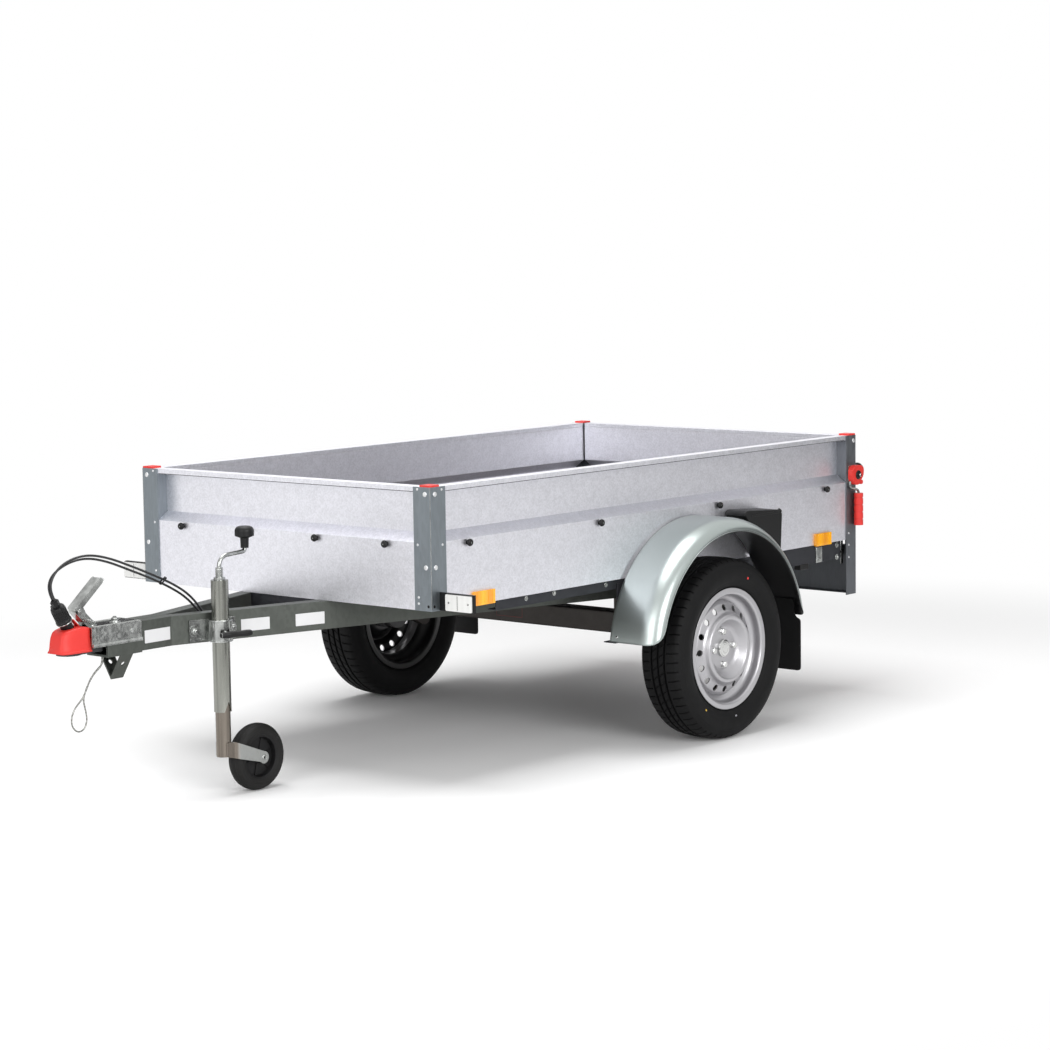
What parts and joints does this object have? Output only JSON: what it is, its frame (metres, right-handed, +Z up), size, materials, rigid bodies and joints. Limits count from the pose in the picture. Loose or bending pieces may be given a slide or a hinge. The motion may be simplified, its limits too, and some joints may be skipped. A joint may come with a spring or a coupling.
{
  "type": "utility trailer",
  "caption": "Single-axle flat-bed utility trailer with sheet-steel walls, drop tailgate, V drawbar, ball coupling and jockey wheel.",
  "frame": {"origin": "on the floor under the middle of the whole trailer's box, leads and safety cable left out", "axes": "+X forward to the coupling, +Y to the left, +Z up"},
  "size_m": [2.958, 1.49, 0.849],
  "materials": {
    "galvanised_sheet": "satin",
    "post_steel": "satin",
    "frame_steel": "satin",
    "drawbar_steel": "satin",
    "zinc_steel": "satin",
    "cast_steel": "matte",
    "fender_steel": "satin",
    "red_plastic": "satin",
    "black_plastic": "matte",
    "white_lens": "gloss",
    "red_lens": "gloss",
    "amber_lens": "gloss",
    "plate_white": "satin",
    "plywood": "satin",
    "wheel_silver": "satin",
    "tyre_rubber": "matte",
    "jockey_rubber": "matte",
    "cord_rubber": "satin",
    "steel_rope": "satin",
    "nut_brass": "satin"
  },
  "bodies": {
    "chassis": {"axle_beam": "frame_steel", "axle_mounts": "frame_steel", "ball_socket": "cast_steel", "coupling_body": "zinc_steel", "coupling_handle": "zinc_steel", "coupling_nose": "red_plastic", "crank_knob": "black_plastic", "cross_rails": "frame_steel", "drawbar_left": "drawbar_steel", "drawbar_nose": "zinc_steel", "drawbar_right": "drawbar_steel", "fender_left": "fender_steel", "fender_right": "fender_steel", "fender_struts": "frame_steel", "floor": "plywood", "front_posts": "post_steel", "front_wall": "galvanised_sheet", "jockey_clamp": "zinc_steel", "jockey_crank": "zinc_steel", "jockey_tube": "zinc_steel", "lash_knobs": "black_plastic", "latch_grips": "red_plastic", "latch_rods": "zinc_steel", "lead_guide": "drawbar_steel", "lead_inner": "cord_rubber", "lead_outer": "cord_rubber", "marker_holders": "black_plastic", "marker_lamps": "white_lens", "mud_flaps": "black_plastic", "number_plate": "plate_white", "plug": "black_plastic", "post_caps": "red_plastic", "rear_posts": "post_steel", "rear_skirt": "frame_steel", "safety_cable": "steel_rope", "side_rails": "frame_steel", "side_reflectors": "amber_lens", "side_wall_left": "galvanised_sheet", "side_wall_right": "galvanised_sheet", "tail_lamps": "red_lens", "tailgate_hinges": "zinc_steel", "wheel_chocks": "black_plastic"},
    "tailgate": {"tailgate": "galvanised_sheet"},
    "wheel_left": {"tyre_left": "tyre_rubber", "rim_left": "wheel_silver"},
    "wheel_right": {"tyre_right": "tyre_rubber", "rim_right": "wheel_silver"},
    "jockey_slider": {"jockey_nut": "nut_brass"},
    "jockey_fork": {"jockey_leg": "zinc_steel"},
    "jockey_wheel": {"jockey_tyre": "jockey_rubber", "jockey_hub": "black_plastic"}
  },
  "joints": [
    {"name": "wheel_left_spin", "type": "hinge", "parent": "chassis", "child": "wheel_left", "pos_m": [-0.52, 0.66, 0.272], "axis": [0, 1, 0], "continuous": true},
    {"name": "wheel_right_spin", "type": "hinge", "parent": "chassis", "child": "wheel_right", "pos_m": [-0.52, -0.66, 0.272], "axis": [0, 1, 0], "continuous": true},
    {"name": "tailgate_hinge", "type": "hinge", "parent": "chassis", "child": "tailgate", "pos_m": [-1.435, 0, 0.494], "axis": [0, -1, 0], "range_deg": [0, 105]},
    {"name": "jockey_slide", "type": "slide", "parent": "chassis", "child": "jockey_slider", "axis": [0, 0, 1], "range_m": [-0.12, 0.08]},
    {"name": "jockey_swivel", "type": "hinge", "parent": "jockey_slider", "child": "jockey_fork", "pos_m": [0.97797, 0.10836, 0.3], "axis": [0, 0, 1], "continuous": true},
    {"name": "jockey_wheel_spin", "type": "hinge", "parent": "jockey_fork", "child": "jockey_wheel", "pos_m": [0.85597, 0.10836, 0.093], "axis": [0, 1, 0], "continuous": true}
  ]
}
